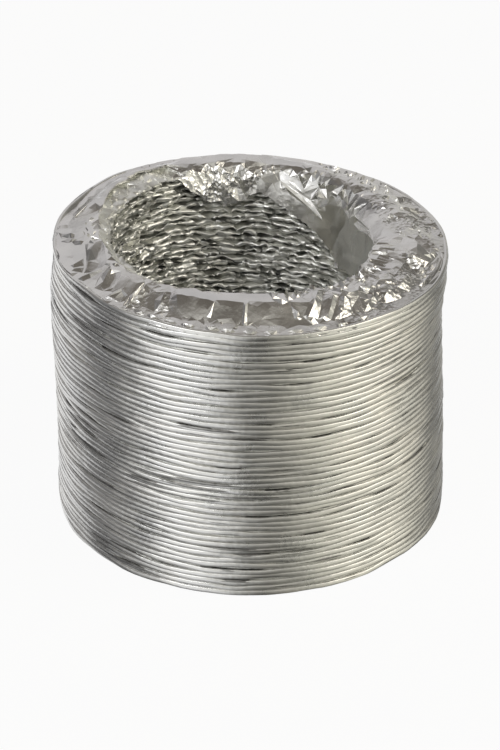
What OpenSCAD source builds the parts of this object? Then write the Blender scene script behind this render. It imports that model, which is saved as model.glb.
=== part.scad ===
// Flexible duct for a cooker hood, squeezed together as it is sold.
// Millimetres, +Z up. The origin is the middle of the lower end, on the floor.
// Angles run round the duct from its right side, with its back at 90.

/* [Duct] */
// Diameter over the beads of the wall
outer_d = 127; // [100:1:155]
// Number of wire turns, with one bead of the wall round each
turns = 48; // [16:1:49]
// How far the folds between the beads reach in towards the bore
fold_depth = 18; // [14:0.5:20]

/* [Wire and foil] */
// Diameter of the spring wire
wire_d = 1.2; // [1:0.1:1.4]
// Thickness of the foil wall
foil_t = 0.2; // [0.16:0.02:0.24]
// Air between neighbouring beads
bead_gap = 0.26; // [0.14:0.04:0.58]

/* [Crown at the top] */
// How far the inner edge of the top stands above its outer rim
crown = 5; // [2:0.5:6]
// Width of the flat lip along the last bead, up to the slope
lip_w = 4.6; // [3:0.2:5.4]
// Width of the level top between the slope and the bore
top_w = 6.5; // [5:0.5:7.5]

/* [Loose end of the foil] */
// How far the cut end at the back left stands back from the bore
cut_back = 4.8; // [3:0.2:5]
// How far the hem at the front and left hangs down into the bore
hem_h = 3.6; // [2:0.2:6]
// How far the flap at the back hangs down into the bore
back_flap_h = 15; // [8:1:20]
// How far the flap at the right hangs down into the bore
side_flap_h = 33; // [16:1:36]
// How far the flap at the right leans in towards the middle
side_flap_lean = 3.6; // [2:0.2:5]

/* [Hidden] */

// Play of the wire in its bead
wire_play = 0.05;
// Facets of a full turn where they are drawn, and of the wire's section
turn_fn = 96;
wire_fn = 8;

pocket_r = wire_d / 2 + wire_play;
bead_r = pocket_r + foil_t;
bead_x = outer_d / 2 - bead_r;
pitch = 2 * bead_r + bead_gap;
bore_r = outer_d / 2 - fold_depth;
last = turns - 1;

// Height of the middle of bead k above the floor
function bead_z(k) = bead_r + k * pitch;

// The folds start level and climb with each turn to make the crown
function climb(k) = crown * pow((k + 1) / turns, 2);

// Height of the fold between bead k and the next one
function fold_z(k) = bead_z(k) + pitch / 2 + climb(k);

// Half hexagon round the outer side of a wire, for a radius of 1
half_hex = [[0, -1], [1, -tan(30)], [1, tan(30)], [0, 1]];

// The same round bead k at radius r, upwards for side 1 and down for -1
function bend(k, r, side) = [
    for (p = half_hex)
        [bead_x + r * p[0], bead_z(k) + side * r * p[1]]
];

// Bottom of the V that a fold makes between two beads, seen from outside
function crease(k) = [bore_r + 2 * foil_t, fold_z(k)];

// The top sheet leaves the last bead as a lip, climbs the slope and ends level at the bore
edge_z = bead_z(last) + bead_r + crown;
lip_rise = 0.6;
top_drop = 0.5;
lip_end = [outer_d / 2 - lip_w, edge_z - crown + lip_rise];
slope_head = [bore_r + top_w, edge_z - top_drop];
bore_edge = [bore_r, edge_z];
down = [0, -foil_t];

// The wall as seen from outside, from the floor up
outside = [
    for (k = [0 : last])
        each concat(bend(k, bead_r, 1), k == last ? [] : [crease(k)])
];

// The top sheet from the last bead to the bore and back along its lower side
top_sheet = [
    lip_end, slope_head, bore_edge,
    bore_edge + down, slope_head + down, lip_end + down
];

// The wall as seen from the bore, from the top down
inside = [
    for (j = [0 : last])
        let (k = last - j)
            each concat(
                bend(k, pocket_r, -1),
                k == 0 ? [] : [
                    [bore_r, fold_z(k - 1) + foil_t],
                    [bore_r, fold_z(k - 1) - foil_t]
                ]
            )
];

// Lower end of the wall, flat on the floor
foot = [[bore_r, foil_t], [bore_r, 0]];

// Where the parts of the loose end start and stop round the duct
back_flap = [84, 121];
cut_end = [122, 153];
hem = [154, 344];
side_flap = [345, 443];

// Part of the loose end that is bent over the edge and hangs into the bore
module hanging_sheet(from_to, lean_in, drop) {
    root = 0.3;
    root_z = edge_z - foil_t / 2 - root * top_drop / top_w;
    knee = 1;
    knee_in = min(knee, lean_in / 2);
    rotate([0, 0, from_to[0]])
        rotate_extrude(angle = from_to[1] - from_to[0], $fn = turn_fn)
            polygon([
                [bore_r + root, root_z],
                [bore_r - knee_in, edge_z - knee - foil_t],
                [bore_r - lean_in, edge_z - drop],
                [bore_r - lean_in - foil_t, edge_z - drop],
                [bore_r - knee_in - foil_t, edge_z - knee],
                [bore_r - foil_t, edge_z - foil_t / 2]
            ]);
}

// The same with its lower edge cut to an outline, drawn as seen from the axis towards a
// direction: steps to the left and shares of the drop
module cut_sheet(from_to, lean_in, drop, towards, outline) {
    over = 1;
    intersection() {
        hanging_sheet(from_to, lean_in, drop);
        rotate([0, 0, towards])
            rotate([90, 0, 90])
                linear_extrude(outer_d / 2)
                    polygon(concat(
                        [[outer_d / 2, edge_z + over], [-outer_d / 2, edge_z + over]],
                        [for (p = outline) [p[0] * bore_r, edge_z - p[1] * (drop + over)]]
                    ));
    }
}

// The foil was cut short here, so the last fold lies open
module cut_away() {
    clear = 0.4;
    depth = top_drop + foil_t + clear;
    rotate([0, 0, cut_end[0]])
        rotate_extrude(angle = cut_end[1] - cut_end[0], $fn = turn_fn)
            translate([bore_r - clear, edge_z - depth])
                square([cut_back + clear, 2 * depth]);
}

module foil_sleeve() {
    color("silver") {
        difference() {
            rotate_extrude($fn = turn_fn)
                polygon(concat(outside, top_sheet, inside, foot));
            cut_away();
        }
        hanging_sheet(hem, foil_t, hem_h);
        cut_sheet(back_flap, 2, back_flap_h, 103, [
            [-1, 0.5], [-0.3, 0.55], [0, 1], [0.19, 0.6], [0.36, 0.1], [1, 0]
        ]);
        cut_sheet(side_flap, side_flap_lean, side_flap_h, 38, [
            [-1, 0.2], [-0.33, 0.4], [0.07, 1], [0.2, 0.7], [1, 0]
        ]);
    }
}

// The wire lies in the outer bend of every pleat
module spring_wire() {
    color("dimgray")
        for (k = [0 : last])
            translate([0, 0, bead_z(k)])
                rotate_extrude($fn = turn_fn)
                    translate([bead_x, 0])
                        circle(d = wire_d, $fn = wire_fn);
}

foil_sleeve();
spring_wire();
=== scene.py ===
# %% [markdown]
# # A flexible cooker hood duct, squeezed together
#
# The real duct is two things only: a spring wire wound into a helix, and one long strip of
# aluminium foil laminate wrapped over it. Squeezed together for sale, the wire turns stack up
# like a coil of rope, the foil between them folds in towards the bore, and the loose end of the
# foil lies crumpled over the top. This lesson builds those forms one at a time.

# %% Open the frame
import math
import random

import bpy
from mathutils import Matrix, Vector
from mathutils.bvhtree import BVHTree
from mathutils.geometry import barycentric_transform, delaunay_2d_cdt


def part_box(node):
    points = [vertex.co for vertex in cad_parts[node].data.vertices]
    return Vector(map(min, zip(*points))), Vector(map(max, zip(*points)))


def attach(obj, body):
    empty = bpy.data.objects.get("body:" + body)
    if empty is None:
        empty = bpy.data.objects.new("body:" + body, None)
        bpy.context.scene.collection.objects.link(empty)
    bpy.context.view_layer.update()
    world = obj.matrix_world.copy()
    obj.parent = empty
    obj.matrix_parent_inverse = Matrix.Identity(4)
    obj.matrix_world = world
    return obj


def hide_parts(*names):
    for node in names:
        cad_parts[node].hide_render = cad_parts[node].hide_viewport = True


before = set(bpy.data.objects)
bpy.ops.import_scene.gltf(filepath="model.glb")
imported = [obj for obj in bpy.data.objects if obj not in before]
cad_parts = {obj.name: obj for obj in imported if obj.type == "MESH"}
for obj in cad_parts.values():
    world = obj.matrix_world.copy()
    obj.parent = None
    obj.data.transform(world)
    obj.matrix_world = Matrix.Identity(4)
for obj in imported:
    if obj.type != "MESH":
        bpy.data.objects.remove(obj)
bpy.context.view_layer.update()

MM = 0.001

# %% [markdown]
# ## Sizes
#
# Every size comes from the solids or is a real size in millimetres. The foil node gives the
# outside radius and the height of the crown, and the wire node gives the height of the stack.

# %% Sizes
foil_low, foil_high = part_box("foil_sleeve")
wire_low, wire_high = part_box("spring_wire")

outer_r = foil_high.x
crown_z = foil_high.z
turns = 48
wire_r = 0.6 * MM
bead_r = 0.85 * MM
bead_x = outer_r - bead_r
first_z = wire_low.z + wire_r
rim_z = wire_high.z - wire_r
pitch = (rim_z - first_z) / (turns - 1)
crown = crown_z - rim_z - bead_r
bore_r = outer_r - 18 * MM
print(f"outside {2 * outer_r / MM:.1f} mm, pitch {pitch / MM:.2f} mm, crown {crown / MM:.1f} mm")

# %% [markdown]
# ## The camera
#
# A long lens, 30 degrees above the horizon, looking along +Y. The distance is 14 radii of the
# duct. The focal length is written in pixels of a picture 750 high, as it was measured, and
# becomes a lens on a 36 mm sensor.

# %% Camera
camera_elevation = math.radians(30.23)
camera_distance = 14 * outer_r
focal_px = 2693.6
picture_h = 750
sensor = 36

camera_data = bpy.data.cameras.new("camera")
camera_data.sensor_width = sensor
camera_data.lens = focal_px / picture_h * sensor
camera_data.clip_start = 0.05
camera_data.clip_end = 50
camera = bpy.data.objects.new("camera", camera_data)
bpy.context.collection.objects.link(camera)
bpy.context.scene.camera = camera

aim = Vector((-0.004 * outer_r, 0, 0.683 * outer_r))
backwards = Vector((0, -math.cos(camera_elevation), math.sin(camera_elevation)))
camera.location = aim + backwards * camera_distance
camera.rotation_euler = (-backwards).to_track_quat("-Z", "Y").to_euler()
print(f"lens {camera_data.lens:.1f} mm at {camera_distance:.3f} m")

# %% [markdown]
# ## One helper for every node tree
#
# Shader trees and geometry trees are built alike: make a node, set it up, and fill its sockets
# with a number, a colour or another node. A node given as a value is joined by its first output.

# %% Node helper
def add(tree, kind, values=(), **settings):
    """Add a node to a tree. The values fill its sockets, in order or by name."""
    made = tree.nodes.new(kind)
    for name, value in settings.items():
        setattr(made, name, value)
    pairs = values.items() if isinstance(values, dict) else enumerate(values)
    for key, value in pairs:
        if value is None:
            continue
        if isinstance(value, bpy.types.Node):
            value = value.outputs[0]
        if isinstance(value, bpy.types.NodeSocket):
            tree.links.new(value, made.inputs[key])
        else:
            made.inputs[key].default_value = value
    return made


def linear(hex_colour):
    """Turn an sRGB hex colour into the linear one that a socket wants."""
    channels = [int(hex_colour[i:i + 2], 16) / 255 for i in (1, 3, 5)]
    return [c / 12.92 if c < 0.04045 else ((c + 0.055) / 1.055) ** 2.4 for c in channels] + [1]


def set_ramp(ramp, stops):
    """Give a colour ramp its stops, each a place from 0 to 1 and a hex colour."""
    while len(ramp.elements) > 1:
        ramp.elements.remove(ramp.elements[0])
    for i, (place, colour) in enumerate(stops):
        element = ramp.elements[0] if i == 0 else ramp.elements.new(place)
        element.position = place
        element.color = linear(colour)


# %% [markdown]
# ## The studio
#
# Bare metal shows nothing but what stands round it, so the surroundings are the real subject
# here. A photographer would put the duct in a white tent with dark gaps, and the gaps become the
# dark upright bands on the stack. The world plays the tent. Three rings of light and dark run
# round it, below the table's edge, level with it and above, and a ceiling crosses it from back to front:
# dim behind, dark overhead and bright in front. The camera itself sees plain white.

# %% World
# Degrees round the compass, 0 towards the camera and 90 to the right.
low_ring = [
    (-180, "#f2f2f3"), (-148, "#ffffff"), (-128, "#ffffff"), (-116, "#ededed"), (-106, "#a8a7a7"),
    (-96, "#4a4949"), (-84, "#4e4d4d"), (-76, "#646363"), (-67, "#828281"), (-58, "#c4c4c2"),
    (-49, "#ffffff"), (-15, "#ffffff"), (-11, "#b4b4af"), (-6, "#83827d"), (4, "#5c5b56"),
    (15, "#5f5e59"), (30, "#a8a69c"), (44, "#e0decd"), (74, "#e2dfcf"), (104, "#d2cfc1"),
    (120, "#898781"), (138, "#686762"), (160, "#d6d6d4"), (180, "#f2f2f3"),
]
middle_ring = [
    (-180, "#cdcaca"), (-165, "#b0aead"), (-150, "#757372"), (-120, "#5f5d5c"),
    (-95, "#5a5858"), (-70, "#a3a3a3"), (-46, "#fcfcfc"), (-22, "#f3f3ee"), (5, "#7a7873"),
    (30, "#bcbaae"), (50, "#eeecdd"), (90, "#f3f0e0"), (108, "#dad7ca"), (122, "#86847e"),
    (142, "#6f6d69"), (155, "#d4d2c8"), (168, "#c6c4c0"), (180, "#cdcaca"),
]
high_ring = [
    (-180, "#cac8c8"), (-170, "#d2d0d0"), (-140, "#cac8c8"), (-100, "#5a5858"), (-70, "#9f9f9f"),
    (-42, "#fafafa"), (-22, "#ecece8"), (5, "#7d7b76"), (24, "#a3a198"), (50, "#e6e4d8"),
    (90, "#ece9da"), (120, "#7d7b76"), (147, "#686662"), (160, "#bab8b5"),
    (180, "#cac8c8"),
]
# Degrees over the top, from 0 at the back to 180 at the front.
ceiling = [
    (0, "#cac8c8"), (44, "#b8b5b2"), (68, "#736e67"), (98, "#645f58"), (118, "#d0cec6"),
    (140, "#e4e2da"), (156, "#83807a"), (180, "#7a7873"),
]

world = bpy.data.worlds.new("light_tent")
world.use_nodes = True
tree = world.node_tree
tree.nodes.clear()
direction = add(tree, "ShaderNodeTexCoord").outputs["Generated"]
right, back, up = add(tree, "ShaderNodeSeparateXYZ", [direction]).outputs


def ramp_over(tree, angle, least, most, stops):
    """Colours by an angle in radians, with the stops in degrees from least to most."""
    share = add(tree, "ShaderNodeMapRange", [angle, math.radians(least), math.radians(most)])
    ramp = add(tree, "ShaderNodeValToRGB", [share])
    set_ramp(ramp.color_ramp, [((a - least) / (most - least), colour) for a, colour in stops])
    return ramp


def mix_colours(tree, share, first, second):
    """Colour between two others."""
    mixed = add(tree, "ShaderNodeMix", data_type="RGBA")
    for socket, value in zip((mixed.inputs[0], mixed.inputs[6], mixed.inputs[7]), (share, first, second)):
        tree.links.new(value, socket)
    return mixed.outputs[2]


front = add(tree, "ShaderNodeMath", [back, -1.0], operation="MULTIPLY")
compass = add(tree, "ShaderNodeMath", [right, front], operation="ARCTAN2")
over_top = add(tree, "ShaderNodeMath", [up, back], operation="ARCTAN2")
height = add(tree, "ShaderNodeMath", [up], operation="ARCSINE").outputs[0]
walls_low = ramp_over(tree, compass, -180, 180, low_ring).outputs[0]
walls_middle = ramp_over(tree, compass, -180, 180, middle_ring).outputs[0]
walls_high = ramp_over(tree, compass, -180, 180, high_ring).outputs[0]
roof = ramp_over(tree, over_top, 0, 180, ceiling).outputs[0]
rise = add(tree, "ShaderNodeMapRange", [height, math.radians(-14), math.radians(-4)]).outputs[0]
climb = add(tree, "ShaderNodeMapRange", [height, math.radians(8), math.radians(22)]).outputs[0]
close = add(tree, "ShaderNodeMapRange", [height, math.radians(38), math.radians(56)]).outputs[0]
sides = mix_colours(tree, rise, walls_low, walls_middle)
sides = mix_colours(tree, climb, sides, walls_high)
whole = mix_colours(tree, close, sides, roof)
below = add(tree, "ShaderNodeMapRange", [height, math.radians(-66), math.radians(-24), 0.3, 1.0])
tent_light = add(tree, "ShaderNodeBackground", [whole, below])
white = add(tree, "ShaderNodeBackground", [(1, 1, 1, 1), 1.0])
path = add(tree, "ShaderNodeLightPath")
seen = add(tree, "ShaderNodeMixShader", [path.outputs["Is Camera Ray"], tent_light, white])
add(tree, "ShaderNodeOutputWorld", [seen])
bpy.context.scene.world = world
bpy.context.scene.view_settings.view_transform = "Standard"
print("tent with", len(low_ring) + len(middle_ring) + len(high_ring), "stops round the compass")

# %% [markdown]
# Two softboxes stand where the tent is brightest. They are large and near, so they give the
# facets of the foil their sparkle without hard shadows.

# %% Softboxes
def softbox(name, compass_deg, elevation_deg, size, power, colour):
    """Hang a square lamp one metre from the duct, facing its middle."""
    a = math.radians(compass_deg)
    e = math.radians(elevation_deg)
    middle = Vector((0, 0, rim_z / 2))
    out = Vector((math.sin(a) * math.cos(e), -math.cos(a) * math.cos(e), math.sin(e)))
    data = bpy.data.lights.new(name, "AREA")
    data.size = size
    data.energy = power
    data.color = linear(colour)[:3]
    lamp = bpy.data.objects.new(name, data)
    lamp.location = middle + out
    lamp.rotation_euler = (-out).to_track_quat("-Z", "Y").to_euler()
    bpy.context.collection.objects.link(lamp)


softbox("softbox_left", -42, 38, 0.5, 1.5, "#ffffff")
softbox("softbox_right", 76, 40, 0.6, 2, "#fff8ea")

# %% [markdown]
# The floor is a plain white sheet. The camera sees it almost as white as the backdrop, with the
# duct's soft shadow left in it. Rays that come off the metal pass through it to the tent, which
# goes on below, as it would over a sheet of glass.

# %% Floor
def plane(name, half):
    """A square sheet at floor height."""
    mesh = bpy.data.meshes.new(name)
    corners = [(-half, -half, 0), (half, -half, 0), (half, half, 0), (-half, half, 0)]
    mesh.from_pydata(corners, [], [(0, 1, 2, 3)])
    sheet = bpy.data.objects.new(name, mesh)
    bpy.context.collection.objects.link(sheet)
    return sheet


paper = bpy.data.materials.new("white_paper_floor")
paper.use_nodes = True
tree = paper.node_tree
tree.nodes.clear()
path = add(tree, "ShaderNodeLightPath")
matt = add(tree, "ShaderNodeBsdfDiffuse", [linear("#f6f6f6")])
glow = add(tree, "ShaderNodeEmission", [(1, 1, 1, 1), 1.0])
clear = add(tree, "ShaderNodeBsdfTransparent")
share = add(tree, "ShaderNodeMath", [path.outputs["Is Camera Ray"], 0.93], operation="MULTIPLY")
lit = add(tree, "ShaderNodeMixShader", [share, matt, glow])
seen = add(tree, "ShaderNodeMixShader", [path.outputs["Is Glossy Ray"], lit, clear])
add(tree, "ShaderNodeOutputMaterial", [seen])
floor = plane("floor", 3.0)
floor.data.materials.append(paper)

# %% [markdown]
# ## Foil and wire
#
# The sleeve is aluminium foil laminate, rolled so thin that every handling mark stays in it. It
# mirrors its surroundings, a little blurred along the rolling lines, and each crease breaks the
# mirror. Metallic is 1 and the colour is plain aluminium, except that the foil of the folds is
# painted paler, as painted light in the shade of the bore. Two scales of bump stand for the
# handling marks: dents 3 or 4 mm across everywhere, and crinkles of 1.6 mm in the patches that
# hands have pressed. The roughness wanders between them.

# %% Foil material
def foil_material(name, dark, pale, smooth, rough, dent, mark_mm=3.0, crinkled=0.1):
    """Rolled aluminium foil: two tones, a range of roughness and the depth of its dents."""
    material = bpy.data.materials.new(name)
    material.use_nodes = True
    tree = material.node_tree
    tree.nodes.clear()
    place = add(tree, "ShaderNodeTexCoord").outputs["Object"]
    patches = add(tree, "ShaderNodeTexNoise", {"Vector": place, "Scale": 1 / (14 * MM), "Detail": 3.0})
    tone = add(tree, "ShaderNodeValToRGB", [patches])
    set_ramp(tone.color_ramp, [(0.35, dark), (0.65, pale)])
    sheen = add(tree, "ShaderNodeMapRange", [patches, 0.3, 0.7, smooth, rough])
    marks = add(tree, "ShaderNodeTexNoise", {"Vector": place, "Scale": 1 / (mark_mm * MM), "Detail": 4.0})
    handled = add(tree, "ShaderNodeTexNoise", {"Vector": place, "Scale": 1 / (9 * MM), "Detail": 1.0})
    often = add(tree, "ShaderNodeMapRange", [handled, 0.42, 0.62, 0.1, crinkled])
    crinkles = add(tree, "ShaderNodeTexVoronoi", {"Vector": place, "Scale": 1 / (1.6 * MM)})
    broad = add(tree, "ShaderNodeBump", {"Height": marks, "Strength": 0.6, "Distance": dent * MM})
    fine = add(tree, "ShaderNodeBump", {
        "Height": crinkles, "Strength": often, "Distance": 0.35 * MM, "Normal": broad,
    })
    foil = add(tree, "ShaderNodeBsdfPrincipled", {
        "Base Color": tone, "Metallic": 1.0, "Roughness": sheen, "Normal": fine,
    })
    add(tree, "ShaderNodeOutputMaterial", [foil])
    return material


foil_beads = foil_material("rolled_aluminium_foil", "#e2e2e1", "#f0efec", 0.24, 0.36, 0.12)
# The fold foil is painted paler than the other foil: painted light that lifts the shade inside the bore.
fold_foil_painted_pale = foil_material("folded_foil_painted_pale", "#f0f0ec", "#fcfcf8", 0.34, 0.46, 0.35, 3.0, 0.5)
foil_loose = foil_material("smooth_aluminium_foil", "#dedddc", "#efeeec", 0.16, 0.3, 0.2, 4.0)
foil_pressed = foil_material("crumpled_aluminium_foil", "#dedddc", "#efeeec", 0.16, 0.3, 0.3, 2.4, 1.0)

steel = bpy.data.materials.new("drawn_spring_steel")
steel.use_nodes = True
tree = steel.node_tree
tree.nodes.clear()
place = add(tree, "ShaderNodeTexCoord").outputs["Object"]
streaks = add(tree, "ShaderNodeTexNoise", {"Vector": place, "Scale": 1 / (2 * MM), "Detail": 3.0})
tone = add(tree, "ShaderNodeValToRGB", [streaks])
set_ramp(tone.color_ramp, [(0.3, "#7d7c7b"), (0.7, "#a3a2a0")])
wire_bump = add(tree, "ShaderNodeBump", {"Height": streaks, "Strength": 0.4, "Distance": 0.02 * MM})
wire_metal = add(tree, "ShaderNodeBsdfPrincipled", {
    "Base Color": tone, "Metallic": 1.0, "Roughness": 0.35, "Normal": wire_bump,
})
add(tree, "ShaderNodeOutputMaterial", [wire_metal])
print("materials:", [m.name for m in bpy.data.materials])

# %% [markdown]
# ## The way the stack has settled
#
# A stack of 48 loose turns never stands straight. This one leans down to the right at the top,
# has slipped a little to the left near the top and spreads at its foot. One node group holds that
# rule, and every piece goes through it, so that they stay together.

# %% Settling group
lean = -0.0368
slip = -1.4 * MM
spread = 0.02

settle = bpy.data.node_groups.new("settle", "GeometryNodeTree")
settle.interface.new_socket("Geometry", in_out="INPUT", socket_type="NodeSocketGeometry")
settle.interface.new_socket("Geometry", in_out="OUTPUT", socket_type="NodeSocketGeometry")
start = add(settle, "NodeGroupInput")
place = add(settle, "ShaderNodeSeparateXYZ", [add(settle, "GeometryNodeInputPosition")])
x, y, z = place.outputs
share = add(settle, "ShaderNodeMapRange", [z, 0.0, rim_z, 0.0, 1.0])
slope = add(settle, "ShaderNodeMath", [share, lean], operation="MULTIPLY")
rise = add(settle, "ShaderNodeMath", [x, slope], operation="MULTIPLY")
slipped = add(settle, "ShaderNodeFloatCurve", {"Value": share})
curve = slipped.mapping.curves[0]
curve.points[0].location = (0, 0)
curve.points[1].location = (1, 0)
for at, amount in ((0.3, 0.15), (0.55, 0.55), (0.78, 1.0), (0.92, 0.2)):
    curve.points.new(at, amount)
slipped.mapping.update()
aside = add(settle, "ShaderNodeMath", [slipped, slip], operation="MULTIPLY")
foot = add(settle, "ShaderNodeMath", [1.0, share], operation="SUBTRACT")
wide = add(settle, "ShaderNodeMath", [foot, foot], operation="MULTIPLY")
wide = add(settle, "ShaderNodeMath", [wide, spread], operation="MULTIPLY")
more_x = add(settle, "ShaderNodeMath", [x, wide, aside], operation="MULTIPLY_ADD")
more_y = add(settle, "ShaderNodeMath", [y, wide], operation="MULTIPLY")
shift = add(settle, "ShaderNodeCombineXYZ", [more_x, more_y, rise])
moved = add(settle, "GeometryNodeSetPosition", {"Geometry": start.outputs[0], "Offset": shift})
add(settle, "NodeGroupOutput", [moved])
print("settling group has", len(settle.nodes), "nodes")

# %% [markdown]
# ## Building with Geometry Nodes
#
# The wire, the beads and the folds all follow the same helix, so a node tree makes each of them
# from a few sizes. The tree hangs on an empty mesh as a modifier, is worked out once, and its
# result becomes a plain mesh.

# %% Tree helpers
def new_tree(name, sizes):
    """A geometry tree with one number input for each size."""
    tree = bpy.data.node_groups.new(name, "GeometryNodeTree")
    for label, value in sizes.items():
        kind = "NodeSocketInt" if isinstance(value, int) else "NodeSocketFloat"
        socket = tree.interface.new_socket(label, in_out="INPUT", socket_type=kind)
        socket.default_value = value
    tree.interface.new_socket("Geometry", in_out="OUTPUT", socket_type="NodeSocketGeometry")
    return tree


def finish_tree(tree, geometry, material, smooth):
    """Settle the stack, set the shading and end as the export wants it."""
    settled = add(tree, "GeometryNodeGroup", node_tree=settle)
    tree.links.new(geometry.outputs[0], settled.inputs[0])
    shaded = add(tree, "GeometryNodeSetShadeSmooth", {"Geometry": settled, "Shade Smooth": smooth})
    real = add(tree, "GeometryNodeRealizeInstances", [shaded])
    dressed = add(tree, "GeometryNodeSetMaterial", {"Geometry": real, "Material": material})
    add(tree, "NodeGroupOutput", [dressed])


def grow(name, tree, sizes):
    """Run a tree with the given sizes and keep the result as a plain mesh."""
    seed = bpy.data.objects.new(name, bpy.data.meshes.new(name + "_seed"))
    bpy.context.collection.objects.link(seed)
    modifier = seed.modifiers.new("grow", "NODES")
    modifier.node_group = tree
    for item in tree.interface.items_tree:
        if item.in_out == "INPUT" and item.name in sizes:
            modifier[item.identifier] = sizes[item.name]
    bpy.context.view_layer.update()
    evaluated = seed.evaluated_get(bpy.context.evaluated_depsgraph_get())
    made = bpy.data.meshes.new_from_object(evaluated)
    seed.modifiers.clear()
    seed.data = made
    made.name = name
    print(f"{name}: {len(made.vertices)} points, {sum(len(p.vertices) - 2 for p in made.polygons)} triangles")
    return seed


def belongs(piece, node):
    """Hang a piece on the root body and hide the solid that it replaces."""
    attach(piece, "root")
    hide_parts(node)


# %% [markdown]
# ## The spring wire
#
# The real wire is one helix from end to end, which the solids show as level hoops. Squeezed on a
# flat table, each turn lies level on the one below and climbs to the next height in a short
# stretch, here at the back. It could be a curve with a bevel, but a Curve Spiral with a circle
# swept along it keeps its sizes as inputs.

# %% Helix for every tree
climb_share = 0.12
climb_from = 130


def helix(tree, given, first_turn):
    """A clockwise helix of level turns that climb one pitch in the last part of each turn."""
    spiral = add(tree, "GeometryNodeCurveSpiral", {
        "Resolution": given["Steps a turn"],
        "Rotations": given["Turns"],
        "Start Radius": given["Radius"],
        "End Radius": given["Radius"],
        "Height": add(tree, "ShaderNodeMath", [given["Turns"], pitch], operation="MULTIPLY"),
        "Reverse": True,
    })
    x, y, z = add(tree, "ShaderNodeSeparateXYZ", [add(tree, "GeometryNodeInputPosition")]).outputs
    turn = add(tree, "ShaderNodeMath", [z, 1 / pitch], operation="MULTIPLY")
    part = add(tree, "ShaderNodeMath", [turn], operation="FRACT")
    whole = add(tree, "ShaderNodeMath", [turn, part], operation="SUBTRACT")
    climb = add(tree, "ShaderNodeMapRange", [part, 1 - climb_share, 1.0], interpolation_type="SMOOTHSTEP")
    level = add(tree, "ShaderNodeMath", [whole, climb], operation="ADD")
    level = add(tree, "ShaderNodeMath", [level, pitch, first_z + first_turn * pitch], operation="MULTIPLY_ADD")
    stepped = add(tree, "ShaderNodeCombineXYZ", [x, y, level])
    lifted = add(tree, "GeometryNodeSetPosition", {"Geometry": spiral, "Position": stepped})
    turned = add(tree, "GeometryNodeTransform", {"Geometry": lifted})
    turned.inputs["Rotation"].default_value = (0, 0, math.radians(climb_from))
    return turned


def flat_section(tree, half_wide, half_thick, corners, blunt, flat=1.0):
    """A closed section for Curve to Mesh; the less blunt and flat are, the squarer it is."""
    circle = add(tree, "GeometryNodeCurvePrimitiveCircle", {"Resolution": corners, "Radius": 1.0})
    x, y, _ = add(tree, "ShaderNodeSeparateXYZ", [add(tree, "GeometryNodeInputPosition")]).outputs
    squared = []
    for value, power, half in ((x, blunt, half_wide), (y, flat, half_thick)):
        size = add(tree, "ShaderNodeMath", [value], operation="ABSOLUTE")
        size = add(tree, "ShaderNodeMath", [size, power], operation="POWER")
        side = add(tree, "ShaderNodeMath", [value], operation="SIGN")
        signed = add(tree, "ShaderNodeMath", [size, side], operation="MULTIPLY")
        squared.append(add(tree, "ShaderNodeMath", [signed, half], operation="MULTIPLY"))
    wide, thick = squared
    moved = add(tree, "ShaderNodeCombineXYZ", [wide, thick, 0.0])
    return add(tree, "GeometryNodeSetPosition", {"Geometry": circle, "Position": moved})


def sweep(tree, path, section):
    """Sweep a section along a path with its flat side level."""
    upright = add(tree, "GeometryNodeSetCurveNormal", {"Curve": path}, mode="Z_UP")
    return add(tree, "GeometryNodeCurveToMesh", {
        "Curve": upright, "Profile Curve": section, "Fill Caps": True,
    })


# %% Wire
full_turns = turns - climb_share
wire_sizes = {"Turns": full_turns, "Radius": bead_x, "Thickness": wire_r, "Steps a turn": 120}
wire_tree = new_tree("wire_helix", wire_sizes)
given = add(wire_tree, "NodeGroupInput").outputs
section = add(wire_tree, "GeometryNodeCurvePrimitiveCircle", {"Resolution": 6, "Radius": given["Thickness"]})
finish_tree(wire_tree, sweep(wire_tree, helix(wire_tree, given, 0), section), steel, True)
spring = grow("spring_helix", wire_tree, wire_sizes)
belongs(spring, "spring_wire")

# %% [markdown]
# ## The beads
#
# Over each wire turn the foil makes a rounded bead. Beads touch in most places, but never quite
# evenly: a slow wave runs through the stack, and each bead has waves and dents of its own, so
# that dark gaps open between some of them. Noise that changes quickly with height gives
# neighbouring turns different waves.

# %% Beads
bead_sizes = {
    "Turns": full_turns, "Radius": bead_x, "Half width": 0.72 * MM, "Half height": 0.93 * MM,
    "Steps a turn": 172, "Wave": 1.0 * MM, "Own wave": 2.4 * MM, "Dent": 0.26 * MM,
}
bead_tree = new_tree("bead_helix", bead_sizes)
given = add(bead_tree, "NodeGroupInput").outputs


def wander(tree, stretch, size, seed):
    """Noise from -0.5 to 0.5 in each direction, with its own stretch along x, y and z."""
    here = add(tree, "GeometryNodeInputPosition")
    spot = add(tree, "ShaderNodeVectorMath", [here, stretch], operation="MULTIPLY")
    wave = add(tree, "ShaderNodeTexNoise", {"Vector": spot, "W": seed, "Scale": 1 / size, "Detail": 1.0},
               noise_dimensions="4D")
    return add(tree, "ShaderNodeVectorMath", [wave.outputs["Color"], (0.5, 0.5, 0.5)], operation="SUBTRACT")


def scaled(tree, vector, amount):
    """A vector times a number."""
    return add(tree, "ShaderNodeVectorMath", {0: vector, "Scale": amount}, operation="SCALE")


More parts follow.
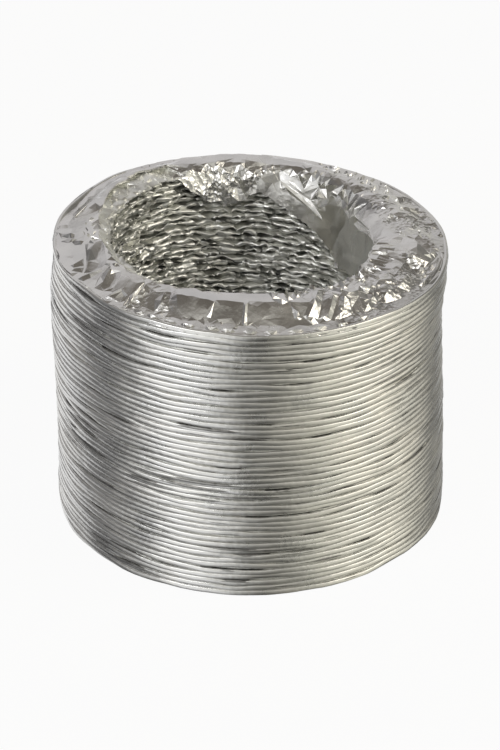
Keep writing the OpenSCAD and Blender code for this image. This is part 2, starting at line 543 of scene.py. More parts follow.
slow = scaled(bead_tree, wander(bead_tree, (1, 1, 1.5), 30 * MM, 1.0), given["Wave"])
own = wander(bead_tree, (1, 1, 12), 22 * MM, 2.0)
own = add(bead_tree, "ShaderNodeVectorMath", [own, (0.5, 0.5, 1.0)], operation="MULTIPLY")
own = scaled(bead_tree, own, given["Own wave"])
both = add(bead_tree, "ShaderNodeVectorMath", [slow, own], operation="ADD")
waved = add(bead_tree, "GeometryNodeSetPosition", {"Geometry": helix(bead_tree, given, 0), "Offset": both})
section = flat_section(bead_tree, given["Half width"], given["Half height"], 12, 0.6, 0.62)
tube = sweep(bead_tree, waved, section)
dents = scaled(bead_tree, wander(bead_tree, (1, 1, 3), 3.5 * MM, 3.0), given["Dent"])
dented = add(bead_tree, "GeometryNodeSetPosition", {"Geometry": tube, "Offset": dents})
finish_tree(bead_tree, dented, foil_beads, True)
beads = grow("foil_beads", bead_tree, bead_sizes)
belongs(beads, "foil_sleeve")

# %% [markdown]
# ## The folds
#
# Between two beads the foil runs in towards the bore and back. Squeezed, its two sheets lie
# together as one crumpled fin, so a flat closed section swept along the helix stands for a fold.
# The noise grows towards the bore, where nothing holds the foil, and the faces are shaded smooth.

# %% Fold tree
fold_depth = bead_x - bore_r
fold_sizes = {
    "Turns": 24.0, "Radius": bead_x - fold_depth / 2, "Half width": fold_depth / 2,
    "Half height": 0.98 * MM, "Steps a turn": 220, "Crumple": 2.8 * MM,
}


def fold_tree(name, first_turn):
    """The folds from one turn upwards, as a tree."""
    tree = new_tree(name, fold_sizes)
    given = add(tree, "NodeGroupInput").outputs
    section = flat_section(tree, given["Half width"], given["Half height"], 14, 0.6)
    fin = sweep(tree, helix(tree, given, first_turn + 0.5), section)
    here = add(tree, "GeometryNodeInputPosition")
    flat_here = add(tree, "ShaderNodeVectorMath", [here, (1, 1, 0)], operation="MULTIPLY")
    radius = add(tree, "ShaderNodeVectorMath", [flat_here], operation="LENGTH").outputs["Value"]
    free = add(tree, "ShaderNodeMapRange", [radius, bead_x - 2 * MM, bore_r])
    level = add(tree, "ShaderNodeMapRange", [
        add(tree, "ShaderNodeSeparateXYZ", [here]).outputs["Z"], 0.0, rim_z,
    ])
    climb = add(tree, "ShaderNodeMath", [level, level], operation="MULTIPLY")
    climb = add(tree, "ShaderNodeMath", [climb, free], operation="MULTIPLY")
    climb = add(tree, "ShaderNodeMath", [climb, crown - 1.4 * MM], operation="MULTIPLY")
    lift = add(tree, "ShaderNodeCombineXYZ", [0.0, 0.0, climb])
    slow = wander(tree, (1, 1, 1.4), 17 * MM, 4.0)
    slow = add(tree, "ShaderNodeVectorMath", [slow, (0.8, 0.8, 0.9)], operation="MULTIPLY")
    coarse = wander(tree, (1.3, 1.3, 4), 4.2 * MM, 5.0)
    coarse = add(tree, "ShaderNodeVectorMath", [coarse, (2.0, 2.0, 1.5)], operation="MULTIPLY")
    chance = add(tree, "FunctionNodeRandomValue", data_type="FLOAT_VECTOR")
    chance.inputs["Min"].default_value = (-0.16, -0.16, -0.13)
    chance.inputs["Max"].default_value = (0.16, 0.16, 0.13)
    rumpled = add(tree, "ShaderNodeVectorMath", [slow, coarse], operation="ADD")
    rumpled = add(tree, "ShaderNodeVectorMath", [rumpled, chance], operation="ADD")
    amount = add(tree, "ShaderNodeMath", [free, given["Crumple"]], operation="MULTIPLY")
    offset = add(tree, "ShaderNodeVectorMath", [scaled(tree, rumpled, amount), lift], operation="ADD")
    crumpled = add(tree, "GeometryNodeSetPosition", {"Geometry": fin, "Offset": offset})
    finish_tree(tree, crumpled, fold_foil_painted_pale, True)
    return tree


for name, first_turn, count, steps in (
    ("foil_folds_lower", 0, 23, 150),
    ("foil_folds_upper", 23, 24 - climb_share, 220),
):
    folds = grow(name, fold_tree(name, first_turn), {**fold_sizes, "Turns": count, "Steps a turn": steps})
    belongs(folds, "foil_sleeve")

# %% [markdown]
# The lower end of the foil lies flat on the table under the first wire turn. It is seen only from
# below, so it is a plain ring.

# %% Lower end
end_sizes = {"Radius": bead_x - fold_depth / 2, "Half width": fold_depth / 2, "Half height": 0.1 * MM}
end_tree = new_tree("lower_end", end_sizes)
given = add(end_tree, "NodeGroupInput").outputs
path = add(end_tree, "GeometryNodeCurvePrimitiveCircle", {"Resolution": 120, "Radius": given["Radius"]})
raised = add(end_tree, "GeometryNodeTransform", {"Geometry": path.outputs[0], "Translation": (0, 0, 0.12 * MM)})
section = flat_section(end_tree, given["Half width"], given["Half height"], 8, 0.4)
finish_tree(end_tree, sweep(end_tree, raised, section), fold_foil_painted_pale, False)
lower_end = grow("foil_lower_end", end_tree, end_sizes)
belongs(lower_end, "foil_sleeve")

# %% [markdown]
# ## The loose end
#
# The strip of foil does not stop at the last wire turn. Its loose end lies over the top, bends
# over the edge of the bore and hangs into it where it is long enough. It is drawn flat first:
# the length along the rim one way and the length across the foil the other way. A coarse cage
# says where each place of the flat strip goes. Creases and crumples are heights above the cage,
# and one fine mesh of triangles carries them all. All sizes in these cells are millimetres.

# %% Flat strip and its layers
rim_top = rim_z / MM
crown_top = crown_z / MM
outside = outer_r / MM
flat_r = 55
seam = 140
girth = 2 * math.pi * flat_r


def flat_u(angle):
    """Length along the flat strip for degrees round the rim, from the seam to the seam."""
    return math.radians(angle - seam) * flat_r


def angle_at(u):
    """Degrees round the rim for a length along the flat strip."""
    return min(seam + 360, max(seam, seam + math.degrees(u / flat_r)))


def layer(spots, targets, edges=()):
    """Join flat spots into triangles and give a function that reads the targets between them."""
    laid, _, faces, sources, _, _ = delaunay_2d_cdt([Vector(s) for s in spots], list(edges), [], 0, 1e-4)
    where = [Vector((p.x, p.y, 0)) for p in laid]
    what = [targets[source[0]] if source else Vector() for source in sources]
    tree = BVHTree.FromPolygons(where, faces)

    def read(u, s):
        spot, _, index, _ = tree.find_nearest((u, s, 0))
        a, b, c = faces[index]
        return barycentric_transform(spot, where[a], where[b], where[c], what[a], what[b], what[c])

    return read


def scatter(most_s, gap_at, tries, seed):
    """Random spots on the strip, none nearer to another than the gap there."""
    chance = random.Random(seed)
    cell = 2.0
    grid = {}
    spots = []
    for _ in range(tries):
        u, s = chance.uniform(0, girth), chance.uniform(0, most_s)
        gap = gap_at(u, s)
        if gap is None:
            continue
        reach = int(gap / cell) + 1
        i, j = int(u / cell), int(s / cell)
        near = (
            spot
            for a in range(i - reach, i + reach + 1)
            for b in range(j - reach, j + reach + 1)
            for spot in grid.get((a, b), ())
        )
        if all(math.dist(spot, (u, s)) >= gap for spot in near):
            grid.setdefault((i, j), []).append((u, s))
            spots.append((u, s))
    return spots


# %% [markdown]
# The cage comes from cross-sections of the loose end at some angles. Each has the same corners
# from the last bead to the free edge: round the bead, over a narrow lip, up a slope, over a level
# top to the inner bend, and down into the bore. Where the end was cut short, at the back left,
# the bend is a free edge with the next fold under it.

# %% Cross-sections
# Degrees round the rim, then how far in from the outside and how far below the crown lie the
# head of the slope, the inner bend, the turn below it, the middle and the end of the hanging
# part. 0 (or 360) is right, 90 (or 450) back, 180 left, 270 front.
sections = [
    (140, (9.0, 0.9), (11.6, 0.4), (11.7, 1.1), (9.4, 1.7), (19.0, 2.4)),
    (143, (9.2, 0.9), (12.2, 0.4), (12.3, 1.1), (9.6, 1.7), (19.0, 2.4)),
    (147, (9.2, 1.0), (11.6, 0.4), (11.7, 1.1), (9.4, 1.7), (19.0, 2.4)),
    (154, (10.0, 1.1), (12.4, 0.4), (12.5, 1.1), (10.4, 1.7), (19.0, 2.6)),
    (160, (10.8, 1.3), (13.4, 0.4), (13.5, 1.1), (12.4, 1.7), (18.8, 2.9)),
    (166, (11.0, 1.4), (14.4, 0.3), (14.5, 1.1), (15.3, 1.7), (18.6, 3.3)),
    (194, (11.0, 1.4), (15.0, 0.3), (15.0, 1.1), (16.4, 1.7), (18.4, 3.6)),
    (209, (11.0, 1.3), (14.7, 0.3), (14.7, 1.1), (16.2, 1.7), (18.4, 3.6)),
    (222, (11.0, 1.1), (13.8, 0.3), (14.0, 1.0), (16.0, 1.7), (18.4, 3.8)),
    (234, (11.0, 0.7), (13.8, 0.2), (15.0, 0.8), (16.8, 1.6), (18.3, 4.0)),
    (241, (11.0, 0.3), (15.6, 0.2), (16.8, 0.8), (18.0, 2.0), (18.5, 4.2)),
    (247, (11.0, 0.0), (17.4, 0.2), (18.4, 0.9), (18.9, 2.2), (19.0, 4.2)),
    (258, (11.2, 0.0), (17.6, 0.2), (18.8, 0.9), (19.2, 2.2), (19.2, 4.2)),
    (268, (11.8, 0.0), (18.8, 0.2), (20.0, 0.9), (20.4, 2.2), (20.4, 4.2)),
    (280, (11.8, 0.0), (18.8, 0.2), (20.2, 0.9), (20.6, 2.2), (20.6, 4.2)),
    (300, (11.4, 0.0), (17.8, 0.3), (19.8, 1.0), (20.2, 2.4), (20.2, 4.5)),
    (315, (11.4, 0.2), (18.0, 0.3), (20.9, 1.2), (21.3, 3.0), (21.2, 6.0)),
    (326, (11.4, 0.5), (18.5, 0.3), (22.0, 1.3), (22.5, 3.4), (22.4, 8.0)),
    (342, (11.2, 1.0), (19.0, 0.4), (24.2, 1.4), (24.6, 4.0), (24.6, 12.0)),
    (352, (11.0, 1.4), (17.8, 0.5), (23.2, 1.5), (24.4, 3.2), (25.0, 16.0)),
    (362, (11.0, 1.5), (15.6, 0.8), (20.8, 1.7), (24.2, 3.6), (25.2, 19.5)),
    (377, (11.0, 1.5), (14.6, 0.8), (18.2, 1.9), (24.4, 5.0), (25.4, 23.5)),
    (384, (11.0, 1.4), (14.6, 0.6), (18.0, 1.6), (24.2, 5.8), (25.2, 25.5)),
    (391, (11.0, 1.4), (15.0, 0.5), (18.2, 1.5), (23.2, 6.8), (24.6, 27.5)),
    (399, (11.0, 1.3), (15.5, 0.4), (18.4, 1.4), (22.0, 8.6), (23.6, 29.0)),
    (404, (11.2, 1.2), (15.6, 0.4), (18.4, 1.4), (21.8, 9.0), (22.9, 27.5)),
    (407, (11.2, 1.2), (15.6, 0.4), (18.4, 1.6), (21.0, 9.6), (21.8, 25.5)),
    (410, (11.2, 1.2), (15.6, 0.4), (18.4, 2.0), (21.2, 16.2), (22.0, 23.5)),
    (415, (11.2, 1.2), (15.8, 0.3), (18.5, 2.6), (21.1, 15.0), (22.1, 20.0)),
    (424, (11.2, 1.0), (16.0, 0.2), (18.5, 2.4), (21.1, 12.2), (22.0, 17.2)),
    (431, (11.2, 0.9), (16.0, 0.2), (18.4, 2.0), (21.0, 9.8), (22.0, 14.5)),
    (437, (11.0, 0.8), (16.0, 0.2), (18.3, 1.6), (20.8, 8.0), (21.9, 12.4)),
    (445, (10.0, 0.6), (16.0, 0.2), (18.3, 1.4), (20.4, 5.4), (21.5, 9.4)),
    (448, (9.6, 0.6), (15.8, 0.2), (18.6, 2.4), (20.4, 6.0), (21.2, 9.2)),
    (452, (9.4, 0.6), (15.0, 0.2), (17.8, 1.4), (21.0, 7.0), (21.5, 12.0)),
    (456, (9.2, 0.6), (16.4, 0.4), (19.2, 3.6), (20.0, 9.0), (21.8, 13.0)),
    (461, (9.2, 0.6), (15.0, 0.3), (18.0, 1.8), (21.4, 8.0), (21.3, 14.4)),
    (466, (9.4, 0.6), (16.0, 0.2), (19.0, 5.0), (20.0, 9.0), (21.8, 13.0)),
    (470, (9.6, 0.7), (15.0, 0.4), (18.2, 2.4), (20.6, 8.0), (21.0, 12.2)),
    (476, (10.0, 0.9), (14.6, 0.2), (17.6, 1.4), (19.8, 5.5), (20.8, 8.2)),
    (480, (10.6, 1.1), (14.0, 0.2), (16.0, 1.0), (18.2, 3.0), (19.2, 5.0)),
    (483, (10.0, 1.0), (11.9, 0.4), (12.0, 1.1), (9.8, 1.7), (18.8, 2.6)),
    (488, (9.8, 0.9), (12.2, 0.4), (12.3, 1.1), (9.8, 1.7), (19.0, 2.4)),
    (491, (9.4, 0.9), (12.0, 0.4), (12.1, 1.1), (9.6, 1.7), (19.0, 2.4)),
    (495, (8.6, 0.9), (10.6, 0.4), (10.7, 1.1), (8.6, 1.7), (19.0, 2.4)),
    (500, (9.0, 0.9), (11.6, 0.4), (11.7, 1.1), (9.4, 1.7), (19.0, 2.4)),
]


def blend(rows, angle):
    """Values of a table by angle, straight from row to row."""
    for before, after in zip(rows, rows[1:]):
        if before[0] <= angle <= after[0]:
            t = (angle - before[0]) / (after[0] - before[0])
            return [
                tuple(p + t * (q - p) for p, q in zip(a, b)) if isinstance(a, tuple) else a + t * (b - a)
                for a, b in zip(before[1:], after[1:])
            ]
    raise ValueError(f"no row for {angle} degrees")


def rim_drop(angle):
    """How far the last bead lies below its full height, where its turn is still climbing."""
    part = ((climb_from - angle) % 360) / 360
    climbing = (part - (1 - climb_share)) / climb_share
    if climbing <= 0:
        return 0.0
    smooth = climbing * climbing * (3 - 2 * climbing)
    return pitch / MM * (1 - smooth) * min(1, climbing * 3)


def corners(angle):
    """Corners of the section as radius and height, from the last bead to the free edge."""
    rim = rim_top - rim_drop(angle)
    wider = max(0, 1 - abs(angle - 262) / 36)
    fixed = [
        (outside - 0.05, rim - 0.4),
        (outside - 0.12, rim + 0.25),
        (outside - 0.5, rim + 0.75),
        (outside - 1.1, rim + 1.0),
        (outside - 1.8, rim + 1.1),
        (outside - 4.6 - 1.1 * wider, rim + 1.5 + 0.1 * wider),
    ]
    return fixed + [(outside - inward, crown_top - down) for inward, down in blend(sections, angle)]


def lengths(angle):
    """Length along the foil to each corner of the section."""
    found = [0.0]
    points = corners(angle)
    for p, q in zip(points, points[1:]):
        found.append(found[-1] + math.dist(p, q))
    return found


cage_angles = [row[0] for row in sections]
cage_angles += [a for a in range(seam, 340, 5)]
rim_angles = set(cage_angles) | set(range(seam, seam + 361, 4))
cage_angles = sorted(set(cage_angles))
cage_spots = []
cage_places = []
for angle in sorted(rim_angles):
    for i, ((r, z), s) in enumerate(zip(corners(angle), lengths(angle))):
        if i > 6 and angle not in cage_angles:
            continue
        a = math.radians(angle)
        cage_spots.append((flat_u(angle), s))
        cage_places.append(Vector((r * math.cos(a), r * math.sin(a), z)))
cage = layer(cage_spots, cage_places)
print("cage:", len(cage_spots), "corners")

# %% [markdown]
# Creases are drawn where the real foil has them. Each one is a ring of corners that stay
# on the surface and one or more lines inside it that rise above it or sink below it. A line near
# one side of its ring makes a broad facet on the other side, which mirrors another part of the
# tent than the foil round it. A few dozen small ones are left to chance.

# %% Creases
# Places are degrees round the rim and how far in from the outside, or the depth below the crown
# where that is negative. The last number of a place on a line is its height.
creases = [
    (
        [(173, 4.6), (164, 5.6), (157.5, 9.6), (159, 13), (166, 14.4), (173, 14), (175, 9.6)],
        [
            [(171.4, 6.0, 0.3), (164.4, 9.3, 1.0), (161.8, 10.9, 1.1)],
            [(171.3, 6.6, -0.1), (170.0, 9.9, -0.9), (167.6, 12.9, -1.0)],
        ],
    ),
    ([(176, 1.8), (175.8, 4.6), (177.8, 4.6), (177.8, 2.0)], [[(176.4, 2.4, 0.3), (176.3, 4.2, 0.5)]]),
    ([(180.6, 2.0), (184.2, 7.2), (186.0, 5.4), (184.2, 3.0)], [[(181.6, 2.6, 0.4), (184.0, 6.4, 0.9)]]),
    (
        [(186.0, 2.8), (184.8, 5.6), (188.0, 7.6), (189.4, 5.6)],
        [[(186.4, 3.6, 0.4), (186.2, 5.6, 0.9), (187.8, 6.6, 0.6)]],
    ),
    ([(188.6, 6.0), (191.6, 9.6), (193.0, 8.6), (191.6, 6.8)], [[(189.4, 6.8, 0.4), (191.6, 8.6, 0.8)]]),
    ([(191, 12.2), (193.4, 14.2), (195.8, 12.2), (194, 10.8)], [[(192.2, 12.6, 0.7), (193.6, 11.6, 0.7)]]),
    (
        [
            (193.0, 13.0), (194.0, 9.6), (200.2, 8.4), (206.0, 6.4), (208.4, 4.4), (210.0, 6.2),
            (211.2, 9.6), (209.2, 12.2), (204.6, 13.4), (200.6, 14.4), (196, 14.6),
        ],
        [
            [(196.4, 13.2, 0.6), (197.6, 12.2, 0.8), (200.0, 10.5, 0.9), (205.4, 7.6, 0.9), (208.0, 5.8, 0.5)],
            [(199.4, 13.4, -0.6), (201.2, 11.9, -0.8), (203.9, 9.9, -0.9), (207.6, 9.8, -0.7), (209.2, 8.4, -0.6)],
        ],
    ),
    ([(201.4, 7.2), (202.0, 2.6), (203.6, 3.0), (205.0, 6.0)], [[(202.4, 6.4, 0.6), (202.7, 3.6, 0.6)]]),
    ([(205.0, 1.8), (204.2, 3.4), (206.0, 5.6), (207.8, 4.2)], [[(205.0, 2.8, 0.5), (206.0, 4.4, 0.7)]]),
    (
        [(211.6, 9.2), (210.4, 6.0), (209.2, 4.0), (210.2, 1.4), (212.2, 2.2), (212.0, 5.0), (213.0, 8.6)],
        [[(212.0, 8.2, 0.5), (210.8, 5.4, 0.7), (210.6, 2.4, 0.6)]],
    ),
    ([(210.8, 10.4), (212.2, 12.0), (213.2, 11.2)], [[(211.8, 11.1, 0.5)]]),
    ([(212.6, 12.2), (214.2, 13.6), (216.4, 13.2), (214.6, 12.0)], [[(214.4, 12.9, 0.8)]]),
    (
        [(213.4, 11.4), (214.0, 7.6), (217.4, 2.6), (220.6, 3.6), (222.4, 6.4), (221.6, 9.4), (219.0, 12.0)],
        [
            [(215.2, 10.4, 0.6), (217.2, 7.4, 0.9), (218.8, 4.2, 0.4)],
            [(216.8, 10.4, -0.6), (218.7, 9.0, -0.8), (220.2, 6.2, -0.6)],
        ],
    ),
    (
        [(225.6, 8.4), (223.4, 5.0), (223.4, 1.4), (228.6, 2.8), (228.6, 6.4)],
        [[(225.6, 7.0, 0.5), (224.5, 2.4, 0.6)], [(227.2, 5.8, -0.5), (227.8, 3.6, -0.5)]],
    ),
    (
        [(230.4, 12.6), (229.4, 6.6), (230.6, 1.8), (235.4, 4.6), (233.6, 8.6)],
        [[(231.0, 11.2, 0.4), (230.8, 6.8, 0.9), (231.4, 3.2, 0.7)]],
    ),
    ([(257.8, 11.0), (256.0, 5.6), (257.6, 5.0)], [[(257.2, 8.0, 0.35)]]),
    ([(267.5, 11.8), (267.2, 5.0), (268.9, 5.2), (269.0, 11.8)], [[(268.2, 10.6, 0.7), (268.0, 5.8, 0.5)]]),
    ([(266.8, 7.6), (264.6, 3.4), (266.0, 3.2)], [[(265.6, 4.2, 0.7)]]),
    ([(277.6, 14.8), (280.6, 11.2), (282.6, 12.0)], [[(280.6, 12.4, 0.8)]]),
    ([(283.4, 12.6), (283.6, 6.0), (286.0, 6.8)], [[(285.0, 8.4, 1.1)]]),
    (
        [(294.6, 17.2), (286.6, 7.4), (288.6, 4.6), (294.6, 5.0), (301.8, 12.2), (300.2, 16.8)],
        [
            [(295.6, 16.0, 0.4), (287.9, 6.8, 0.7)],
            [(297.7, 15.4, -1.0), (291.0, 6.2, -0.8)],
            [(300.4, 13.4, 0.7), (294.0, 6.2, 0.9)],
        ],
    ),
    ([(295.4, 4.4), (302.4, 12.0), (304.4, 9.5), (302.5, 5.2)], [[(302.3, 10.2, 1.3), (299.2, 5.8, 0.2)]]),
    ([(306.0, 4.0), (308.0, 9.4), (311.6, 7.6), (309.0, 4.2)], [[(309.0, 7.6, 1.1)]]),
    ([(315.0, 5.0), (317.6, 10.8), (323.0, 9.6), (323.2, 3.8)], [[(319.6, 8.8, 1.5)]]),
    ([(306.6, 13.6), (315.0, 17.2), (318.8, 14.6), (313.4, 8.2)], [[(314.8, 15.6, 1.4)]]),
    ([(330.6, 12.0), (335.0, 8.4), (327.0, 3.8), (324.0, 7.4)], [[(326.0, 7.2, 1.0), (330.4, 11.0, 0.8)]]),
    ([(20.0, 14.2), (24.0, 18.2), (29.0, 13.0)], [[(24.0, 16.8, 0.8)]]),
    (
        [(33.0, -7.0), (24.0, -5.7), (12.0, -4.4), (356.0, -3.3), (12.0, -6.4), (24.0, -9.0), (33.0, -9.6)],
        [[(31.0, -7.8, -0.8), (24.0, -7.0, -1.0), (12.0, -5.3, -1.0), (358.0, -3.8, -0.5)]],
    ),
    ([(62.5, -9.5), (57.5, -1.4), (54.6, -7.6)], [[(58.6, -7.4, 1.3)]]),
    ([(53.6, -5.2), (47.4, -0.9), (49.8, -6.0)], [[(51.0, -4.8, 1.1)]]),
    ([(71.0, -1.2), (63.5, -1.0), (66.0, -6.4)], [[(67.0, -2.0, 1.1)]]),
    ([(46.6, -1.0), (49.2, -8.6), (44.6, -7.6)], [[(46.4, -2.6, 1.0)]]),
    ([(78.0, -4.6), (62.0, -9.8), (55.0, -15.0), (64.0, -11.6), (77.0, -7.0)], [[(76.0, -6.0, 0.3), (64.5, -10.8, 0.9), (57.0, -14.2, 0.3)]]),
    ([(38.6, -7.0), (31.0, -1.6), (34.0, -7.2)], [[(34.4, -5.4, 0.8)]]),
    ([(43.0, -7.6), (38.0, -1.8), (40.4, -7.6)], [[(40.6, -5.8, 0.8)]]),
    ([(116.5, -0.8), (106.0, -4.8), (110.2, -11.4), (116.0, -7.0)], [[(109.6, -9.8, 1.4)]]),
    ([(104.4, -1.4), (96.0, -1.6), (99.6, -7.0)], [[(99.0, -5.6, 1.4)]]),
    ([(94.6, -4.4), (87.4, -1.4), (90.0, -8.0)], [[(90.4, -6.6, 1.1)]]),
    (
        [
            (336.6, 4.9), (346.0, 4.9), (356.0, 2.8), (362.5, 5.4), (363.6, 9.0), (358.0, 14.4),
            (351.0, 15.4), (345.6, 15.2), (341.6, 13.6), (337.4, 13.2), (335.6, 9.2), (334.2, 6.2),
        ],
        [
            [(361.8, 7.2, 0.7), (355.8, 3.6, 0.8)],
            [(360.9, 8.6, -0.2), (354.2, 4.2, -0.2)],
            [(359.6, 10.2, 1.2), (352.6, 5.0, 1.2)],
            [(357.4, 11.0, 0.1), (351.0, 6.2, 0.2)],
            [(354.8, 13.2, 0.8), (351.8, 10.6, 1.7), (348.4, 6.2, 1.5)],
            [(346.8, 13.8, 0.0), (343.8, 10.6, 0.5), (345.2, 5.6, 0.5)],
            [(342.7, 9.0, -0.9), (343.0, 5.8, -0.8)],
            [(342.2, 12.0, 0.8), (341.0, 9.6, 1.2), (339.6, 5.8, 1.0)],
            [(340.0, 11.0, -0.5), (338.0, 6.8, -0.6)],
        ],
    ),
    (
        [(330.5, 3.6), (334, 1.9), (343, 1.7), (352, 1.8), (355, 2.5), (350, 3.5), (345, 4.6), (336.4, 4.7)],
        [
            [(333, 2.9, -0.4), (342, 2.6, -0.5), (351.5, 2.2, -0.4)],
            [(333, 3.3, 0.6), (342, 3.0, 0.9), (351, 2.6, 0.6)],
        ],
    ),
    ([(10.0, 18.0), (13.6, 13.8), (17.4, 16.2), (13.6, 18.4)], [[(11.0, 17.6, -0.9), (13.8, 15.6, -1.0), (16.4, 16.4, -0.9)]]),
    ([(27.6, 7.2), (26.4, 0.8), (21.0, 1.0), (20.8, 10.2)], [[(24.6, 3.0, 0.8), (23.4, 8.0, 0.9)], [(22.6, 3.2, -0.3), (21.8, 8.2, -0.3)]]),
    ([(20.2, 10.0), (20.4, 1.2), (16.6, 4.2), (17.4, 9.6)], [[(19.4, 3.0, 0.8), (19.0, 8.8, 0.8)]]),
    ([(14.6, 9.6), (14.8, 1.2), (11.0, 0.8), (11.6, 5.0)], [[(13.4, 2.0, 0.8), (13.6, 8.4, 0.7)]]),
    ([(9.2, 1.9), (8.8, 0.9), (5.0, 0.8), (5.6, 3.6)], [[(8.2, 1.5, 0.6), (6.0, 2.2, 0.5)]]),
]


# Folds that run into the bore at the front right: middle, how far in from and to, and height
chance = random.Random(41)
for middle, near, far, height in (
    (280.0, 15.0, 18.8, 0.8), (284.4, 13.4, 18.8, 1.2), (288.2, 14.6, 19.0, 1.2), (292.0, 16.0, 19.2, 0.7),
    (296.5, 17.4, 19.8, 1.2), (300.6, 17.6, 19.8, 0.6), (304.4, 12.6, 19.4, 1.2), (308.4, 15.2, 19.6, 1.0),
    (313.6, 17.4, 20.0, 0.7), (318.8, 15.4, 20.0, 1.2), (322.6, 12.6, 19.4, 0.6), (326.6, 14.4, 20.8, 0.55),
    (330.4, 13.4, 19.6, 0.5), (334.2, 16.0, 22.0, 0.6), (338.2, 15.0, 20.4, 0.4), (342.0, 17.6, 23.2, 0.55),
    (346.0, 16.4, 21.4, 0.4), (350.0, 18.4, 22.8, 0.4),
):
    high = height * chance.uniform(0.8, 1.2)
    low = -height * chance.uniform(0.4, 0.7)
    turn = chance.uniform(-1.6, 1.6)
    creases.append((
        [(middle - 1.9, near), (middle - 2.0 + turn, far), (middle + 1.7 + turn, far), (middle + 1.9, near)],
        [
            [(middle - 0.9, near + 0.8, high * 0.7), (middle - 1.1 + turn, far - 0.6, high)],
            [(middle + 0.9, near + 0.6, low * 0.7), (middle + 0.8 + turn, far - 0.4, low)],
        ],
    ))

# Short ridges along the lip at the front, each named by its middle
for middle in (236, 241, 246.5, 252, 259, 263.5, 270, 276, 283, 290, 297, 304):
    creases.append((
        [(middle - 2.4, 2.4), (middle - 0.4, 1.3), (middle + 2.2, 2.2), (middle + 0.2, 3.6)],
        [[(middle - 1.4, 2.2, 0.75), (middle + 1.3, 2.1, 0.85)]],
    ))


def flat_spot(angle, inward):
    """Place on the flat strip for degrees round the rim and a distance in, or a depth if negative."""
    points, found = corners(angle), lengths(angle)
    for i, (p, q) in enumerate(zip(points, points[1:])):
        if inward >= 0:
            here, ahead, wanted = outside - p[0], outside - q[0], inward
        else:
            here, ahead, wanted = crown_top - p[1], crown_top - q[1], -inward
            if i < 7:
                continue
        if here <= wanted <= ahead:
            return Vector((flat_u(angle), found[i] + (found[i + 1] - found[i]) * (wanted - here) / (ahead - here)))
    return Vector((flat_u(angle), found[-1]))


def rim_angle(angle):
    """Degrees from the seam onwards."""
    return angle if angle >= seam else angle + 360


drawn = []
for corner_ring, lines in creases:
    flat_ring = [flat_spot(rim_angle(a), t) for a, t in corner_ring]
    flat_lines = [[(flat_spot(rim_angle(a), t), h) for a, t, h in line] for line in lines]
    drawn.append((flat_ring, flat_lines))

# Degrees from and to, how far in from and to, how many, and how long and high they are at most.
small_ones = [
    (364, 400, 1.6, 13.0, 70, 3.0, 1.1),
    (400, 425, 1.6, 12.0, 40, 2.6, 0.9),
    (484, 499, -1.9, -2.4, 30, 2.6, 0.9),
    (142, 168, -1.9, -2.5, 50, 2.6, 0.9),
    (168, 234, -1.9, -3.4, 70, 2.2, 0.7),
    (345, 366, 14.0, 17.0, 12, 2.6, 0.5),
    (174, 194, 2.0, 14.0, 34, 2.4, 0.9),
    (194, 214, 9.0, 14.0, 18, 2.0, 0.8),
    (425, 490, 2.0, 9.0, 14, 2.4, 0.3),
    (232, 242, 2.0, 10.0, 16, 2.2, 0.6),
    (238, 292, 3.6, 5.4, 24, 2.2, 0.6),
    (214, 238, 1.0, 4.8, 16, 2.0, 0.6),
]
chance = random.Random(31)
for from_angle, to_angle, from_in, to_in, count, longest, highest in small_ones:
    for _ in range(count):
        middle = flat_spot(chance.uniform(from_angle, to_angle), chance.uniform(from_in, to_in))
        half = longest / 2 * chance.uniform(0.5, 1)
        turn = chance.uniform(0, math.pi)
        along = Vector((math.cos(turn), math.sin(turn))) * half
        aside = Vector((-along.y, along.x)) * chance.uniform(0.35, 0.7)
        height = highest * chance.uniform(0.5, 1)
        if all((middle - spot).length > half + (spot - ring[0]).length for ring, _ in drawn for spot in
               [sum(ring, Vector((0, 0))) / len(ring)]):
            ring = [middle - along, middle + along, middle + aside]
            drawn.append((ring, [[(middle + aside * 0.3, height)]]))

crease_spots = []
crease_heights = []
crease_edges = []
for ring, lines in drawn:
    first = len(crease_spots)
    crease_spots += ring
    crease_heights += [0] * len(ring)
    crease_edges += [(first + i, first + (i + 1) % len(ring)) for i in range(len(ring))]
    for line in lines:
        first = len(crease_spots)
        crease_spots += [spot for spot, _ in line]
        crease_heights += [height for _, height in line]
        crease_edges += [(first + i, first + i + 1) for i in range(len(line) - 1)]
border = [(u, s) for u in range(0, int(girth) + 6, 6) for s in (0.0, 1.0, 62.0)]
spots = list(crease_spots) + [Vector(p) for p in border]
targets = [Vector((0, 0, h)) for h in crease_heights] + [Vector()] * len(border)
crease_height = layer(spots, targets, crease_edges)
print("creases:", len(drawn))

# %% [markdown]
# Crumples are chance. Two layers of random triangles, one coarse and one fine, are laid over
# each other, and a table says how high each stands at every angle: low where the foil is smooth
# and high where hands have pressed it together.

